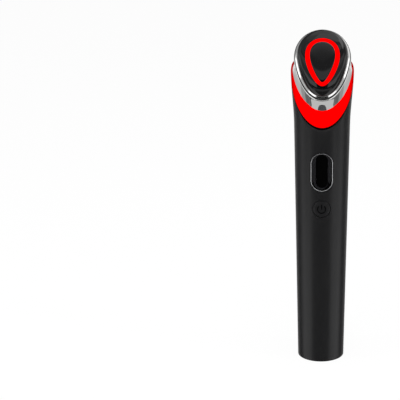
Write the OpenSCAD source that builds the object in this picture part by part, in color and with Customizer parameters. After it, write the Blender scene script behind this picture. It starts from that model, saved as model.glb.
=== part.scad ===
// Hand-held LED facial massager: a tapered wand with a slanted head that carries a lit
// teardrop ring. Z is up, the front faces -Y, and the origin is the centre of the base.

/* [Body shell] */
// Radius of the shell at the base
base_r = 12.4; // [12:0.05:13]
// Growth of the shell's radius for each millimetre of height
taper = 0.0178; // [0.016:0.0002:0.02]
// Wall of the body shell
wall = 1.6; // [1.3:0.1:1.8]
// Height at which the shell starts to flare
flare_z = 131; // [124:1:135]
// Extra radius that the flare adds
flare_r = 1.25; // [1.1:0.05:1.5]
// Height of the widest point of the shell
rim_z = 159; // [156:0.5:160]
// Height at which the rounded shoulder has narrowed to the crown
shoulder_z = 164; // [162.5:0.5:165]
// Height of the centre of the round crown
crown_z = 166.3; // [165.5:0.1:167]
// How much the shell narrows from its widest point to the crown
neck_step = 1.65; // [1.4:0.05:1.8]

/* [Head bands] */
// Slant of the head's planes from level, in degrees
slant = 58; // [56:0.5:59]
// Height at which the slanted seam crosses the axis
seam_z = 171.2; // [169:0.1:172]
// Reach of the chromed head past the shell's crown
head_step = 0.1; // [0:0.05:0.3]
// Height of the chrome ring, square to the seam
chrome_h = 2.8; // [2.2:0.05:3]
// Width of the lit band's upper edge that the chrome ring leaves free
ledge_w = 0.65; // [0.4:0.05:0.9]
// Wall of the chrome ring
chrome_wall = 1.6; // [1.4:0.1:1.8]
// Height of the lit red band, square to the seam
band_h = 5.45; // [5:0.05:6.4]
// Depth of the head frame inside the body shell, square to the seam
spigot_h = 4; // [3:0.2:5]
// Radius of the round touch sensor in the chrome ring
sensor_r = 2.1; // [1.8:0.05:2.3]

/* [Treatment face] */
// Thickness of the dark gasket between the rings
gasket_h = 0.35; // [0.3:0.05:0.6]
// Width of the dark groove that the gasket leaves visible
groove_w = 0.4; // [0.3:0.05:0.8]
// Width of the inner chrome ring
bezel_w = 0.95; // [0.8:0.05:1.2]
// Height of the inner chrome ring above the gasket
bezel_h = 0.8; // [0.6:0.05:1.2]
// Height of the face's crown above the gasket
face_h = 7.25; // [6.8:0.05:8]
// Wall of the face cover
face_wall = 1.5; // [1.2:0.1:1.7]
// Bluntness of the face's shoulder at the top end
top_blunt = 5.6; // [4:0.1:5.8]
// Bluntness of the face's shoulder at the lower end
tip_blunt = 2.2; // [2:0.1:2.6]

/* [Teardrop light ring] */
// Distance of the ring's centre below the point where the seam crosses the axis
ring_drop = 9.3; // [8:0.1:9.6]
// How far half of the ring's length falls short of the head's radius
ring_short = 2.35; // [1.9:0.05:2.6]
// How far the ring's mean half-width falls short of the head's radius
ring_narrow = 6.4; // [5.9:0.05:6.6]
// How much the outline widens to the top and narrows to the tip
ring_skew = 2.6; // [2:0.05:2.8]
// Width of the ring at its two ends
ring_end_t = 1.85; // [1.7:0.05:2.6]
// Width of the ring at its sides
ring_side_t = 2.4; // [2.2:0.05:3.2]

/* [Display] */
// Width of the display's silver frame
display_w = 12.4; // [11.6:0.1:12.6]
// Height of the display's silver frame
display_h = 21.7; // [20.5:0.1:22]
// Height of the display's centre
display_z = 108.2; // [107.5:0.1:109]
// Width of the silver frame's rim
frame_rim = 0.7; // [0.5:0.05:0.9]
// Depth of the window below the silver frame
window_recess = 0.3; // [0.2:0.05:0.5]
// Depth of the silver frame below the shell's surface
frame_recess = 0.05; // [0.05:0.01:0.15]

/* [Power button] */
// Radius of the button
button_r = 4.5; // [4.2:0.1:4.6]
// Height of the button's centre
button_z = 88; // [87:0.2:89]
// Travel of the button
button_travel = 0.4; // [0.3:0.05:0.45]
// Gap around the button
button_gap = 0.3; // [0.25:0.05:0.35]
// Reach of the button's flange past its side
flange_w = 0.9; // [0.8:0.05:1]
// Depth of the engraved power symbol
symbol_depth = 0.3; // [0.2:0.05:0.4]

/* [Base] */
// Thickness of the base cap
cap_h = 2.4; // [2.2:0.1:2.8]
// Distance of each base screw from the cap's edge
screw_in = 2.95; // [2.8:0.05:3.1]
// Radius of the base screws
screw_r = 0.8; // [0.7:0.05:0.9]
// Section radius of the seal round the cap
seal_r = 0.5; // [0.4:0.05:0.55]

/* [Charging socket] */
// Width of the socket's metal shell
socket_w = 8.94; // [8.6:0.02:9.1]
// Depth of the socket's metal shell
socket_d = 3.2; // [3:0.05:3.4]
// Length of the socket
socket_l = 7.3; // [6.8:0.1:7.6]
// Wall of the socket's shell
socket_wall = 0.3; // [0.25:0.05:0.35]

/* [Battery] */
// Gap in front of the battery cell and behind it
cell_gap = 0.525; // [0.45:0.025:0.8]
// Length of the battery cell
cell_l = 50; // [46:1:51]

/* [Boards and chassis] */
// Thickness of the circuit boards
board_t = 1.2; // [1:0.1:1.4]
// Gap beside the main board at its lower end
board_gap = 0.12; // [0.1:0.02:0.6]
// Depth of the main board's front face behind the shell's foot
board_depth = 5.55; // [5.4:0.05:5.7]
// Height of the main board's upper end
board_top = 119; // [118.5:0.1:119.2]
// Thickness of the chassis plate behind the main board
spine_t = 1.4; // [1.2:0.05:1.5]
// Height of the chassis's upper end
chassis_top = 121.5; // [121:0.1:121.8]

/* [Vibration motor] */
// Radius of the motor's can
motor_r = 3.5; // [3:0.1:3.8]
// Length of the motor's can
motor_l = 14.5; // [13:0.5:15]
// Radius of the motor's shaft
shaft_r = 0.5; // [0.4:0.05:0.6]
// Radius of the eccentric weight
weight_r = 3; // [2.6:0.1:3.2]
// Length of the eccentric weight
weight_l = 3.8; // [3:0.1:4.2]

/* [Clearances] */
// Gap between seated plastic parts
seat_gap = 0.1; // [0.05:0.01:0.15]
// Gap between the chassis and the shell
chassis_gap = 0.25; // [0.2:0.05:0.3]
// Running clearance of the motor's shaft
run_gap = 0.05; // [0.03:0.01:0.08]
// Gap that glue fills round the display, the touch sensor and the lenses
glue_gap = 0.04; // [0.02:0.01:0.08]

/* [Hidden] */

// Resolution of turned parts and of the face's grid
$fn = 96;
round_n = 72;
small_n = 32;
far = 250;

// Colours
black_matte = [0.16, 0.16, 0.165];
black_gloss = [0.06, 0.06, 0.065];
chrome = [0.78, 0.79, 0.8];
lit_red = [0.95, 0.02, 0.02];
board_green = [0.05, 0.3, 0.16];
steel = [0.62, 0.63, 0.65];

// Outline of the shell
function smooth(u) = let (t = min(1, max(0, u))) t * t * (3 - 2 * t);
function flared_r(z) = base_r + taper * z
    + flare_r * smooth((z - flare_z) / (rim_z - flare_z));
rim_r = flared_r(rim_z);
crown_r = rim_r - neck_step;
head_r = crown_r + head_step;
ring_l = head_r - ring_short;
ring_w = head_r - ring_narrow;
function ball_r(r, z) = z <= crown_z ? r : sqrt(max(0, r * r - pow(z - crown_z, 2)));
function shell_r(z) =
    z <= rim_z ? flared_r(z)
    : z <= shoulder_z ? crown_r + neck_step * sqrt(1 - pow((z - rim_z) / (shoulder_z - rim_z), 2))
    : ball_r(crown_r, z);

// Solid inside the shell's surface, drawn in by d and starting at height z0
module shell_solid(d = 0, z0 = 0) {
    flare_steps = 9;
    neck_steps = 6;
    crown_steps = 12;
    flare = [for (i = [0 : flare_steps]) flare_z + (rim_z - flare_z) * i / flare_steps];
    neck = [for (i = [1 : neck_steps])
        rim_z + (shoulder_z - rim_z) * sin(90 * i / neck_steps)];
    walls = concat([z0], flare, neck);
    rotate_extrude()
        polygon(concat(
            [[0, z0]],
            [for (z = walls) [shell_r(z) - d, z]],
            [for (i = [0 : crown_steps]) let (a = 90 * i / crown_steps)
                [(crown_r - d) * cos(a), crown_z + (crown_r - d) * sin(a)]]
        ));
}

// Solid inside the chromed head's surface, drawn in by d
module head_solid(d = 0) {
    foot_z = rim_z - 2 * head_r;
    translate([0, 0, foot_z]) cylinder(r = head_r - d, h = crown_z - foot_z);
    translate([0, 0, crown_z]) sphere(r = head_r - d);
}

// The head's own frame: its X is X, its Y runs up the seam plane, its Z leaves the face
module on_head() {
    translate([0, 0, seam_z]) rotate([slant, 0, 0]) children();
}

// Slice of the head between two distances from the seam plane
module head_slice(low, high) {
    intersection() {
        children();
        on_head() translate([-far, -far, low]) cube([2 * far, 2 * far, high - low]);
    }
}

band_low = -chrome_h - band_h;
spigot_low = band_low - spigot_h;
plate_top = -board_t;
plate_t = 1.4;
led_space = 1.3;
frame_wall = 1.95;
frame_d = wall + seat_gap;
void_d = chrome_wall + seat_gap + frame_wall;

// Places of the switch stack, measured forwards from the axis
board_front = board_depth - base_r;
board_back = board_front + board_t;
spine_back = board_back + spine_t;
switch_h = 1.3;
travel_spare = 0.3;
post_l = 1.2;
flange_t = 0.7;
post_y = board_front - switch_h - button_travel - travel_spare;
flange_back = post_y - post_l;
module_t = 4;
gasket_t = 0.45;
panel_y = board_front - module_t;
frame_back = panel_y - gasket_t;

// Stadium-shaped prism that leaves the front along -Y, grown by g on every side
module stadium(g, near, reach) {
    r = display_w / 2 + g;
    half = (display_h - display_w) / 2;
    translate([0, near, display_z]) rotate([90, 0, 0]) linear_extrude(reach) union() {
        for (s = [-1, 1]) translate([0, s * half]) circle(r = r);
        square([2 * r, 2 * half], center = true);
    }
}

// Round rod along -Y from near to near - reach
module rod_y(r, near, reach, z) {
    translate([0, near, z]) rotate([90, 0, 0]) cylinder(r = r, h = reach);
}

// Heights from the base up, and the places of the cap's seal and of the cell
cap_r = base_r - wall - seat_gap;
cap_step = 0.6;
cap_step_in = 1.2;
screw_x = cap_r - screw_in;
board_w = 2 * sqrt(pow(cap_r - board_gap, 2) - pow(board_front, 2));
seal_at = cap_r + seat_gap - seal_r;
screw_seat = 1;
base_head_r = 1.5;
base_head_h = 0.95;
base_shank = 7;
post_r = 1.7;
socket_z = 0.4;
deck_z = socket_z + socket_l;
deck_space = 2;
chassis_z = deck_z + board_t + deck_space;
disc_t = 1.5;
tab_t = 0.4;
tab_w = 6;
screw_rise = 7;
cell_z = chassis_z + disc_t + tab_t;
mid_z = cell_z + cell_l + tab_t;
cell_r = (base_r - wall - spine_back) / 2 - cell_gap;
cell_y = spine_back + cell_gap + cell_r;
board_rise = 3.5;
board_low = chassis_z + board_rise;
shell_low = 60;

module body_shell() {
    color(black_matte) difference() {
        head_slice(-far, band_low) shell_solid();
        shell_solid(wall, -1);
        stadium(0, 0, 2 * base_r);
        rod_y(button_r + button_gap, 0, 2 * base_r, button_z);
    }
}

// Seal ring, and the groove that holds it
module seal_ring() {
    translate([0, 0, cap_h / 2])
        rotate_extrude() translate([seal_at, 0]) circle(r = seal_r, $fn = small_n);
}

module base_cap() {
    color(black_matte) difference() {
        union() {
            cylinder(r = cap_r, h = cap_h);
            cylinder(r = cap_r - cap_step_in, h = cap_h + cap_step);
        }
        seal_ring();
        for (s = [-1, 1]) translate([s * screw_x, 0, -far]) {
            cylinder(r = screw_r + seat_gap, h = 2 * far, $fn = small_n);
            cylinder(r = base_head_r + seat_gap, h = far + screw_seat, $fn = small_n);
        }
        translate([0, 0, -far]) linear_extrude(2 * far) socket_outline(seat_gap);
    }
}

module base_seal() {
    color("dimgray") seal_ring();
}

cross_w = 0.3;
cross_depth = 0.4;

// One screw: its head's low face at the origin, its shank up
module screw(head_r, head_h, shank_l) {
    difference() {
        union() {
            cylinder(r = head_r, h = head_h, $fn = small_n);
            cylinder(r = screw_r, h = head_h + shank_l, $fn = small_n);
        }
        for (a = [0, 90]) rotate([0, 0, a])
            cube([head_r * 1.2, cross_w, 2 * cross_depth], center = true);
    }
}

module base_screws() {
    color(steel) for (s = [-1, 1]) translate([s * screw_x, 0, screw_seat - base_head_h])
        screw(base_head_r, base_head_h, base_shank);
}

module socket_outline(g) {
    r = socket_d / 2 + g;
    half = (socket_w - socket_d) / 2;
    for (s = [-1, 1]) translate([s * half, 0]) circle(r = r, $fn = small_n);
    square([2 * half, 2 * r], center = true);
}

module charging_socket() {
    tongue_w = socket_w - socket_d;
    tongue_t = 0.7;
    tongue_in = 0.6;
    back_t = 1;
    color(steel) translate([0, 0, socket_z]) {
        difference() {
            linear_extrude(socket_l) socket_outline(0);
            translate([0, 0, -back_t]) linear_extrude(socket_l) socket_outline(-socket_wall);
        }
        translate([-tongue_w / 2, -tongue_t / 2, tongue_in])
            cube([tongue_w, tongue_t, socket_l - back_t / 2 - tongue_in]);
    }
}

module charge_board() {
    edge_gap = 0.5;
    notch_r = post_r + chassis_gap;
    color(board_green) translate([0, 0, deck_z]) difference() {
        cylinder(r = cap_r - edge_gap, h = board_t);
        for (s = [-1, 1]) translate([s * screw_x, 0, -1]) cylinder(r = notch_r, h = board_t + 2);
        for (s = [-1, 1]) translate([s * base_r, 0, board_t / 2])
            cube([2 * (base_r - screw_x), 2 * notch_r, board_t + 2], center = true);
    }
}

module link_pins() {
    pin_r = 0.3;
    pitch = 2.5;
    lap = 4;
    pin_low = deck_z + board_t;
    color("gold") for (i = [-1.5 : 1.5]) translate([pitch * i, board_front - pin_r, pin_low])
        cylinder(r = pin_r, h = board_low + lap - pin_low, $fn = small_n);
}

// D-shaped chassis deck at height z, as wide as the shell lets in
module deck(z, t) {
    r = shell_r(z) - wall - chassis_gap;
    translate([0, 0, z]) intersection() {
        cylinder(r = r, h = t);
        translate([-far, board_back, -1]) cube([2 * far, far, t + 2]);
    }
}

module chassis() {
    spine_w = 2 * sqrt(pow(cap_r - chassis_gap, 2) - pow(board_back, 2));
    post_z = cap_h + cap_step;
    pilot_z = screw_seat + base_shank + 1;
    color("gray") difference() {
        union() {
            translate([-spine_w / 2, board_back, chassis_z])
                cube([spine_w, spine_t, chassis_top - chassis_z]);
            deck(chassis_z, disc_t);
            deck(mid_z, disc_t);
            deck(chassis_top - disc_t, disc_t);
            for (s = [-1, 1]) translate([s * screw_x, 0, post_z])
                cylinder(r = post_r, h = chassis_z + disc_t / 2 - post_z, $fn = small_n);
        }
        for (s = [-1, 1]) translate([s * screw_x, 0, 0])
            cylinder(r = screw_r, h = pilot_z, $fn = small_n);
        for (z = board_screw_z) rod_y(screw_r, spine_back + 1, spine_t + 2, z);
        translate([-ribbon_w / 2 - ribbon_play, board_back - 1, chassis_top - ribbon_lap])
            cube([ribbon_w + 2 * ribbon_play, 1 + 3 * ribbon_t, 2 * ribbon_lap]);
    }
}

module battery_cell() {
    nub_r = 2.4;
    nub_h = 0.6;
    color("royalblue") translate([0, cell_y, cell_z]) {
        cylinder(r = cell_r, h = cell_l - nub_h);
        cylinder(r = nub_r, h = cell_l);
    }
}

module battery_tabs() {
    color("silver") for (z = [cell_z - tab_t, cell_z + cell_l])
        translate([-tab_w / 2, cell_y - tab_w / 2, z]) cube([tab_w, tab_w, tab_t]);
}

board_screw_z = [board_low + screw_rise, mid_z + screw_rise];
board_head_r = 1.4;
board_head_h = 0.9;

module main_board() {
    color(board_green) difference() {
        translate([-board_w / 2, board_front, board_low])
            cube([board_w, board_t, board_top - board_low]);
        for (z = board_screw_z) rod_y(screw_r + seat_gap, 0, far, z);
    }
}

module board_screws() {
    color(steel) for (z = board_screw_z)
        translate([0, board_front - board_head_h, z]) rotate([-90, 0, 0])
            screw(board_head_r, board_head_h, board_t + spine_t - seat_gap);
}

// Chips on the main board: width, height, thickness, x and z of each
chips = [[6, 6, 1, 0, 50], [3, 3, 0.9, -4.5, 32], [3, 3, 0.9, 4.5, 38], [4.4, 5, 1.2, -4.8, 80],
         [2, 1.2, 0.8, 5, 48], [2, 1.2, 0.8, 5, 52], [2, 1.2, 0.8, -5.5, 44]];

module board_chips() {
    color("black") for (c = chips)
        translate([c[3] - c[0] / 2, board_front - c[2], c[4] - c[1] / 2])
            cube([c[0], c[2], c[1]]);
}

// Wire-wound coil: a square foot, the winding and a round top flange
module boost_coil() {
    coil_z = 61;
    side = 6;
    foot_t = 0.6;
    winding_r = 2.2;
    coil_h = 2.8;
    color("dimgray") {
        translate([-side / 2, board_front - foot_t, coil_z - side / 2]) cube([side, foot_t, side]);
        rod_y(winding_r, board_front, coil_h, coil_z);
        rod_y(winding_r + foot_t, board_front - coil_h + foot_t, foot_t, coil_z);
    }
}

gasket_w = 1.5;
gasket_in = 0.2;

module display_module() {
    w = display_w - 2;
    h = display_h - 2.4;
    color("black") {
        translate([-w / 2, panel_y, display_z - h / 2]) cube([w, board_front - panel_y, h]);
        stadium(-gasket_in - gasket_w - seat_gap, panel_y, gasket_t - seat_gap);
    }
}

module window_gasket() {
    color("dimgray") difference() {
        stadium(-gasket_in, panel_y, gasket_t);
        stadium(-gasket_in - gasket_w, 0, far);
    }
}

module display_frame() {
    color("silver") intersection() {
        difference() {
            stadium(-glue_gap, frame_back, base_r);
            stadium(-frame_rim, 0, far);
        }
        shell_solid(frame_recess);
    }
}

module display_window() {
    color(black_gloss) intersection() {
        stadium(-frame_rim - glue_gap, frame_back, base_r);
        shell_solid(frame_recess + window_recess);
    }
}

module power_symbol(depth) {
    arc_r = 2.1;
    line = 0.42;
    bar_l = 2.3;
    gap_half = 38;
    face_y = -shell_r(button_z) + depth;
    out = 2 * arc_r;
    translate([0, face_y, button_z]) rotate([90, 0, 0]) linear_extrude(out) {
        difference() {
            circle(r = arc_r + line / 2);
            circle(r = arc_r - line / 2);
            polygon([[0, 0], [-out * sin(gap_half), out * cos(gap_half)],
                     [out * sin(gap_half), out * cos(gap_half)]]);
        }
        translate([0, arc_r - 0.1]) square([line, bar_l], center = true);
    }
}

module power_button() {
    stem_r = 1.2;
    color(black_matte) {
        difference() {
            intersection() {
                rod_y(button_r, flange_back, base_r, button_z);
                shell_solid(frame_recess);
            }
            power_symbol(symbol_depth);
        }
        rod_y(button_r + flange_w, flange_back, flange_t, button_z);
        rod_y(stem_r, post_y, post_l + flange_t / 2, button_z, $fn = small_n);
    }
}

plunger_r = 0.9;

module switch_plunger() {
    color("white") rod_y(plunger_r, post_y + switch_h, switch_h, button_z, $fn = small_n);
}

// Rubber spring ring between the main board and the button's flange
module button_spring() {
    outer = 4.2;
    inner = 3.5;
    color("dimgray") difference() {
        rod_y(outer, board_front, board_front - flange_back, button_z);
        rod_y(inner, 0, far, button_z);
    }
}

module tact_switch() {
    side = 4.4;
    color("silver") difference() {
        translate([-side / 2, board_front - switch_h, button_z - side / 2])
            cube([side, switch_h, side]);
        rod_y(plunger_r + travel_spare, 0, far, button_z, $fn = small_n);
    }
}

motor_y = 3.2;
seat_t = 1.5;
motor_z = chassis_top + seat_t;

module motor_bracket() {
    clip_l = 7;
    clip_t = 1.1;
    split = 3;
    color("gray") translate([0, motor_y, chassis_top]) difference() {
        cylinder(r = motor_r + clip_t, h = seat_t + clip_l);
        translate([0, 0, seat_t]) cylinder(r = motor_r, h = clip_l + 1);
        translate([-split / 2, 0, seat_t]) cube([split, 2 * motor_r, clip_l + 1]);
    }
}

boss_l = 1;
shaft_in = 10.5;
shaft_out = 0.6;
shaft_low = motor_z + motor_l - shaft_in;
weight_z = motor_z + motor_l + boss_l + shaft_out;

module vibration_motor() {
    color(steel) translate([0, motor_y, motor_z]) difference() {
        union() {
            cylinder(r = motor_r, h = motor_l);
            cylinder(r = motor_r * 0.45, h = motor_l + boss_l);
        }
        translate([0, 0, motor_l - shaft_in - 0.5])
            cylinder(r = shaft_r + run_gap, h = motor_l + boss_l, $fn = small_n);
    }
}

module motor_shaft() {
    color(chrome) translate([0, motor_y, shaft_low])
        cylinder(r = shaft_r, h = weight_z + weight_l + shaft_out - shaft_low, $fn = small_n);
}

module eccentric_weight() {
    hub_r = 1.3;
    color("darkgoldenrod") translate([0, motor_y, weight_z]) difference() {
        union() {
            cylinder(r = hub_r, h = weight_l);
            intersection() {
                cylinder(r = weight_r, h = weight_l);
                translate([-far, 0, -1]) cube([2 * far, far, weight_l + 2]);
            }
        }
        translate([0, 0, -1]) cylinder(r = shaft_r, h = weight_l + 2, $fn = small_n);
    }
}

ribbon_w = 6;
ribbon_t = 0.3;
ribbon_play = 0.5;
ribbon_lap = 6;
slot_v = -4;
slot_w = 2;

module head_frame() {
    color("gray") difference() {
        union() {
            head_slice(spigot_low, band_low) shell_solid(frame_d, shell_low);
            head_slice(band_low, -chrome_h) shell_solid(frame_d + led_space, shell_low);
            head_slice(-chrome_h, plate_top) head_solid(chrome_wall + seat_gap);
        }
        head_slice(-far, plate_top - plate_t) head_solid(void_d);
        on_head() translate([-ribbon_w / 2 - ribbon_play, slot_v - slot_w / 2, -far / 2])
            cube([ribbon_w + 2 * ribbon_play, slot_w, far]);
        for (p = head_screw_at) on_head() translate([p[0], p[1], plate_top - 2 * plate_t])
            cylinder(r = screw_r, h = far, $fn = small_n);
    }
}

flex_t = 0.3;
flex_margin = 0.6;

module band_flex() {
    d = frame_d + led_space - flex_t;
    color("darkorange") head_slice(band_low + flex_margin, -chrome_h - flex_margin)
        difference() {
            shell_solid(d, shell_low);
            shell_solid(d + flex_t, shell_low);
        }
}

// Small lamps on the front half of the flex, along the band's middle plane
module band_leds() {
    count = 11;
    side = 1.4;
    t = 0.6;
    mid = -chrome_h - band_h / 2;
    flex_d = frame_d + led_space - flex_t;
    color("mistyrose") for (i = [0 : count - 1]) {
        a = 180 + 180 * (i + 0.5) / count;
        y = (crown_r - flex_d) * sin(a);
        z = seam_z + mid / cos(slant) + y * tan(slant);
        r = max(shell_r(z - side / 2), shell_r(z + side / 2)) - flex_d;
        rotate([0, 0, a]) translate([r, -side / 2, z - side / 2]) cube([t, side, side]);
    }
}

module light_band() {
    color(lit_red) head_slice(band_low, -chrome_h) difference() {
        shell_solid(0, shell_low);
        shell_solid(wall, shell_low);
    }
}

// Centre of the face and of the crown's sphere, in the head's own frame
face_v = -ring_drop;
crown_drop = (seam_z - crown_z) * sin(slant);
crown_off = (seam_z - crown_z) * cos(slant);
cover_inset = groove_w + bezel_w;

sensor_rise = 1.6;
sensor_z = seam_z - chrome_h / cos(slant) - head_r * tan(slant) + sensor_rise;

// Surface that the chrome ring's lower edge follows, and the head's surface drawn in by d
function flank_r(z) = max(ball_r(head_r, z), shell_r(z) - ledge_w);
function rim_hit(a, s, d, flank, low = 0, high = 2 * head_r, n = 30) =
    let (mid = (low + high) / 2, z = seam_z + s / cos(slant) + mid * sin(a) * tan(slant),
         r = flank ? flank_r(z) : ball_r(head_r - d, z))
    n == 0 ? [mid * cos(a), mid * sin(a), z]
    : rim_hit(a, s, d, flank, mid < r ? mid : low, mid < r ? high : mid, n - 1);

// The chrome ring flares from the head's outline at the seam to the band's ledge
module chrome_ring() {
    core = 1.2 * chrome_wall;
    color(chrome) difference() {
        loft_loop([for (a = turn) [
            rim_hit(a, -chrome_h, 0, true), rim_hit(a, 0, 0, false),
            rim_hit(a, 0, core, false), rim_hit(a, -chrome_h, core, false)]]);
        head_slice(-chrome_h - 1, 1) head_solid(chrome_wall);
        rod_y(sensor_r, 0, far, sensor_z, $fn = small_n);
    }
}

module touch_sensor() {
    color(black_gloss) head_slice(-chrome_h, 0) intersection() {
        rod_y(sensor_r - glue_gap, 0, far, sensor_z, $fn = small_n);
        difference() {
            head_solid(frame_recess);
            head_solid(chrome_wall);
        }
    }
}

face_head_r = 1.1;
face_head_h = 0.9;
face_screw_gap = 0.35;
side_screw_v = -3.5;
side_screw_in = 4.9;
head_screw_at = [
    [0, face_v + face_r(90, face_wall) - face_head_r - face_screw_gap],
    [side_screw_in - head_r, side_screw_v], [head_r - side_screw_in, side_screw_v]
];

module head_board() {
    color(board_green) difference() {
        head_slice(plate_top, 0) head_solid(chrome_wall + seat_gap);
        for (p = head_screw_at) on_head() translate([p[0], p[1], -2 * board_t])
            cylinder(r = screw_r + seat_gap, h = 4 * board_t, $fn = small_n);
    }
}

module head_screws() {
    color(steel) for (p = head_screw_at) on_head() translate([p[0], p[1], face_head_h])
        rotate([180, 0, 0]) screw(face_head_r, face_head_h, board_t + plate_t - seat_gap);
}

// Outline of the head at distance s from the seam plane: the slanted cylinder below the
// crown's centre and the crown's sphere above it, seen from the face's centre
function conic_hit(a, mid_v, ru, rv) =
    let (c = cos(a), s = sin(a), dv = face_v - mid_v,
         qa = c * c / (ru * ru) + s * s / (rv * rv),
         qb = 2 * s * dv / (rv * rv),
         qc = dv * dv / (rv * rv) - 1)
    (-qb + sqrt(qb * qb - 4 * qa * qc)) / (2 * qa);

function outline_r(a, s) =
    let (cyl = conic_hit(a, s * tan(slant), head_r, head_r / cos(slant)),
         z = seam_z + (face_v + cyl * sin(a)) * sin(slant) + s * cos(slant),
         round_r = sqrt(head_r * head_r - pow(crown_off + s, 2)))
    z <= crown_z ? cyl : conic_hit(a, -crown_drop, round_r, round_r);

// Height of the face above the seam plane in direction a at distance r, for a skin
// drawn in by d
function blunt(a) = (top_blunt + tip_blunt) / 2 + (top_blunt - tip_blunt) / 2 * sin(a);
function face_r(a, d = 0) = outline_r(a, gasket_h) - cover_inset - d;
function face_z(a, r, d = 0) =
    let (u = min(1, r / face_r(a, d)), p = blunt(a))
    gasket_h + (face_h - d) * pow(max(0, 1 - pow(u, p)), 1 / p);

// Teardrop outline, its band drawn in by e at the ends and w at the sides
function drop_pt(t, e, w) =
    [sin(t) * (ring_w - w + ring_skew * cos(t)), (ring_l - e) * cos(t)];
function polar(p) = [atan2(p[1], p[0]), norm(p)];
function at(a, r, z) = [r * cos(a), face_v + r * sin(a), z];

// Closed tube of equal sections, and closed stack of rings between two end points
module loft_loop(sections) {
    n = len(sections);
    m = len(sections[0]);
    polyhedron(
        points = [for (s = sections) each s],
        faces = [for (i = [0 : n - 1], j = [0 : m - 1]) let (
                     a = i * m + j, b = i * m + (j + 1) % m,
                     c = ((i + 1) % n) * m + (j + 1) % m, d = ((i + 1) % n) * m + j)
                 each [[a, b, c], [a, c, d]]],
        convexity = 6);
}

module loft_stack(rings, low, high) {
    n = len(rings);
    m = len(rings[0]);
    top = n * m;
    polyhedron(
        points = concat([for (r = rings) each r], [low, high]),
        faces = concat(
            [for (i = [0 : n - 2], j = [0 : m - 1]) let (
                 a = i * m + j, b = i * m + (j + 1) % m)
             each [[a, b + m, b], [a, a + m, b + m]]],
            [for (j = [0 : m - 1]) [top, j, (j + 1) % m]],
            [for (j = [0 : m - 1]) [(n - 1) * m + (j + 1) % m, (n - 1) * m + j, top + 1]]),
        convexity = 4);
}

turn = [for (i = [0 : round_n - 1]) 360 * (i + 0.5) / round_n];

module seam_gasket() {
    edge = 0.15;
    color("black") on_head() loft_loop([for (a = turn) let (
        r = outline_r(a, 0), outer = r - edge, inner = r - cover_inset - face_wall) [
        at(a, outer, 0), at(a, outer, gasket_h), at(a, inner, gasket_h), at(a, inner, 0)]]);
}

module bezel_ring() {
    flat = 0.2;
    lip = 0.1;
    color(chrome) on_head() loft_loop([for (a = turn) let (
        inner = face_r(a) + glue_gap, outer = face_r(a) + bezel_w, high = gasket_h + bezel_h) [
        at(a, outer, gasket_h), at(a, outer, gasket_h + lip), at(a, inner + flat, high),
        at(a, inner, high), at(a, inner, gasket_h)]]);
}

// Radii from the ring's edge out to the face's outline, closer together at the shoulder
shoulder = [0, 0.35, 0.62, 0.8, 0.91, 0.97, 1];

module face_cover() {
    color(black_gloss) on_head() loft_loop([for (t = turn) let (
        q = polar(drop_pt(t, 0, 0)), a = q[0], r0 = q[1] + glue_gap,
        r1 = face_r(a), r2 = face_r(a, face_wall))
        concat(
            [for (k = shoulder) let (r = r0 + (r1 - r0) * k) at(a, r, face_z(a, r))],
            [for (i = [len(shoulder) - 1 : -1 : 0]) let (
                r = r0 + (r2 - r0) * shoulder[i]) at(a, r, face_z(a, r, face_wall))])]);
}

guide_low = 1.2;

module led_ring() {
    across = [0, 0.5, 1];
    color(lit_red) on_head() loft_loop([for (t = turn) let (
        rows = [for (k = across) let (
            q = polar(drop_pt(t, ring_end_t * (1 - k), ring_side_t * (1 - k)))) q])
        concat(
            [for (q = rows) at(q[0], q[1], face_z(q[0], q[1]))],
            [at(rows[2][0], rows[2][1], guide_low), at(rows[0][0], rows[0][1], guide_low)])]);
}

module centre_plate() {
    plate = 1.4;
    spread = [0.25, 0.5, 0.75, 1];
    function row(k, down) = [for (t = turn) let (
        p = drop_pt(-t, ring_end_t + glue_gap, ring_side_t + glue_gap),
        q = polar(k * p))
        at(q[0], q[1], face_z(q[0], q[1]) - down)];
    color(black_gloss) on_head() loft_stack(
        concat([for (k = spread) row(k, plate)],
               [for (i = [len(spread) - 1 : -1 : 0]) row(spread[i], 0)]),
        [0, face_v, face_z(0, 0) - plate], [0, face_v, face_z(0, 0)]);
}

module head_leds() {
    count = 14;
    side = 1.6;
    t = 0.9;
    color("mistyrose") on_head() for (i = [0 : count - 1]) {
        p = drop_pt(360 * (i + 0.5) / count, ring_end_t / 2, ring_side_t / 2);
        translate([p[0] - side / 2, face_v + p[1] - side / 2, 0]) cube([side, side, t]);
    }
}

// Flat cable from the main board, up inside the frame and through its slot to the board
module head_ribbon() {
    function slot_pt(s) = [slot_v * cos(slant) - s * sin(slant),
                           seam_z + slot_v * sin(slant) + s * cos(slant)];
    y0 = board_back;
    lean = 2;
    rise = 8;
    path = [[y0, chassis_top - ribbon_lap], [y0, chassis_top + rise],
            [y0 + lean, chassis_top + 2.5 * rise], [y0 + 2 * lean, chassis_top + 4 * rise],
            slot_pt(plate_top - 2 * plate_t), slot_pt(plate_top)];
    color("darkorange") rotate([90, 0, 90]) translate([0, 0, -ribbon_w / 2])
        linear_extrude(ribbon_w) polygon(concat(
            path, [for (i = [len(path) - 1 : -1 : 0]) path[i] + [ribbon_t, 0]]));
}

body_shell();
base_cap();
base_seal();
base_screws();
charging_socket();
charge_board();
link_pins();
chassis();
battery_cell();
battery_tabs();
main_board();
board_screws();
board_chips();
boost_coil();
display_module();
window_gasket();
display_frame();
display_window();
power_button();
switch_plunger();
button_spring();
tact_switch();
motor_bracket();
vibration_motor();
motor_shaft();
eccentric_weight();
head_frame();
band_flex();
band_leds();
light_band();
chrome_ring();
touch_sensor();
head_board();
head_leds();
head_screws();
seam_gasket();
bezel_ring();
face_cover();
led_ring();
centre_plate();
head_ribbon();
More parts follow.
